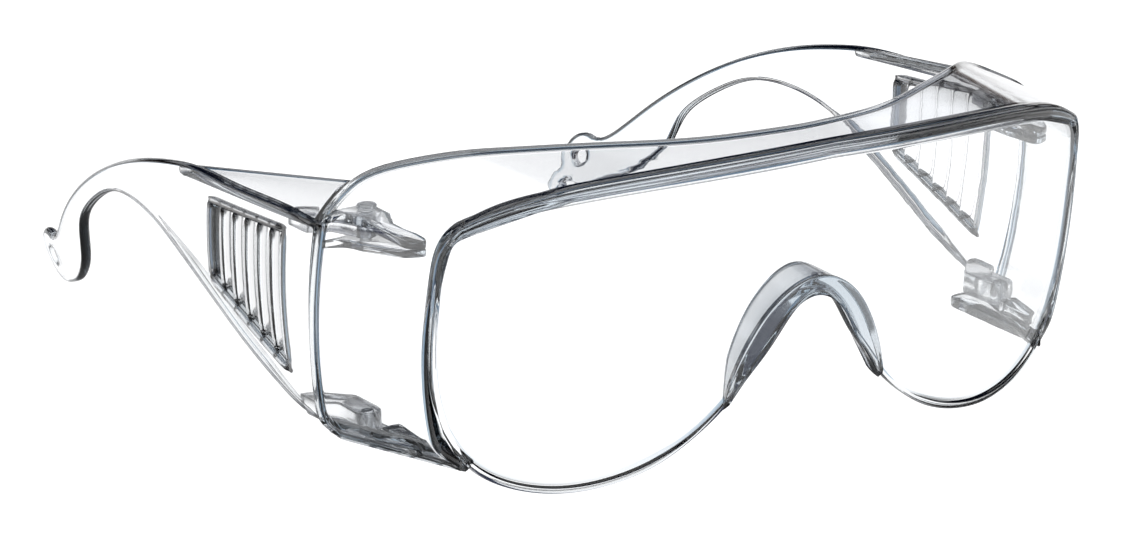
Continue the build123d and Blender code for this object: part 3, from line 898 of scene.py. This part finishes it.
upper_pin = lathe([(0.2, 41.6), (0.8, 41.6), (1.0, 41.8), (1.0, 46.9), (1.5, 46.92), (1.7, 47.1), (1.7, 47.5),
                   (1.5, 47.7), (0.9, 47.79), (0.2, 47.8)], hinge_x)
lower_pin = lathe([(0.2, 6.8), (0.8, 6.8), (1.0, 7.0), (1.0, 12.6), (0.8, 12.85), (0.2, 12.9)], hinge_x)

# %% [markdown]
# The cord hole is cut from the finished paddle with a Boolean modifier, the one cut that no
# grid line follows, and the result is kept as a plain mesh.

# %% Temples and pins on both sides
def cut_hole(target, cutter):
    """Difference of two closed meshes, applied, and the cutter removed."""
    change = target.modifiers.new("cord_hole", "BOOLEAN")
    change.operation, change.solver, change.object = "DIFFERENCE", "EXACT", cutter
    view = bpy.context.evaluated_depsgraph_get()
    finished = bpy.data.meshes.new_from_object(target.evaluated_get(view))
    target.modifiers.clear()
    target.data = finished
    finished.polygons.foreach_set("use_smooth", np.ones(len(finished.polygons), bool))
    bpy.data.objects.remove(cutter)


hole_radius = 1.8
middle = on_skin(np.array([tip_y, tip_z]))
out_there = unit(np.array([0.942, 0.1633, -0.2931]))
first_side = unit(np.cross(out_there, [0, 0, 1.0]))
second_side = np.cross(out_there, first_side)
angle = np.linspace(0, 2 * np.pi, 48, endpoint=False)[None, :, None]
flare = [0.55, 0.55, 0.15, 0, 0, 0.15, 0.55, 0.55]
drill_radius = hole_radius + np.array(flare)[:, None, None]
drill_depth = np.array([1.5, 0.05, -0.12, -0.45, -1.55, -1.88, -2.05, -3.5])[:, None, None]
spoke = first_side * np.cos(angle) + second_side * np.sin(angle)
drill = sweep(middle + out_there * drill_depth + drill_radius * spoke)

for side, flip in (("left", lambda s: s), ("right", mirrored)):
    body, slot = f"{side}_temple", "temple_clear"
    arm = piece(f"temple_{side}_shield_and_arm", flip(shield), body, temple_finish)
    cutter_mesh = bpy.data.meshes.new("drill")
    points, faces = flip(drill)
    cutter_mesh.from_pydata(placed(points).tolist(), [], faces)
    for finish in temple_finish:
        cutter_mesh.materials.append(finish)
    cutter_mesh.polygons.foreach_set("material_index", np.ones(len(cutter_mesh.polygons), int))
    cutter = bpy.data.objects.new("drill", cutter_mesh)
    bpy.context.scene.collection.objects.link(cutter)
    cut_hole(arm, cutter)
    piece(f"temple_{side}_louvres", flip(joined(slats)), body, temple_finish)
    piece(f"temple_{side}_shoulder", flip(flange), body, temple_finish)
    piece(f"temple_{side}_rib", flip(rib), body, temple_finish)
    piece(f"temple_{side}_lugs", flip(lugs), body, (frosted,))
    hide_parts(f"temple_{side}")
    cap = piece(f"upper_pin_{side}", flip(upper_pin), "front", (pins,))
    plain = piece(f"lower_pin_{side}", flip(lower_pin), "front", (pins,))
    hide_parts(f"upper_hinge_pin_{side}")
    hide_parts(f"lower_hinge_pin_{side}")
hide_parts("wraparound_front")

# %% [markdown]
# The table is a lit sheet of opal plastic under a light-control film, which lets the light out
# at a slant and stays dark from above. Flat walls show its white, and rims that bend the
# view steeply down turn dark.

# %% Lit table
table_finish = bpy.data.materials.new("opal_table")
table_finish.use_nodes = True
opal = table_finish.node_tree.nodes["Principled BSDF"]
opal.inputs["Base Color"].default_value = (0.3, 0.3, 0.3, 1.0)
opal.inputs["Roughness"].default_value = 1.0
opal.inputs["Specular IOR Level"].default_value = 0.0
opal.inputs["Emission Color"].default_value = (1.0, 1.0, 1.0, 1.0)
grazing = linked(table_finish.node_tree, "ShaderNodeLayerWeight", Blend=0.5)
film = table_finish.node_tree.nodes.new("ShaderNodeMapRange")
for label, value in (("From Min", 0.42), ("From Max", 0.56), ("To Min", 0.05), ("To Max", 1.05)):
    film.inputs[label].default_value = value
table_finish.node_tree.links.new(grazing.outputs["Facing"], film.inputs["Value"])
table_finish.node_tree.links.new(film.outputs["Result"], opal.inputs["Emission Strength"])
reach = 6.0
table_mesh = bpy.data.meshes.new("table")
corners = [(-reach, -reach, 0), (reach, -reach, 0), (reach, reach, 0), (-reach, reach, 0)]
table_mesh.from_pydata(corners, [], [(0, 1, 2, 3)])
table_mesh.materials.append(table_finish)
table = bpy.data.objects.new("table", table_mesh)
bpy.context.scene.collection.objects.link(table)
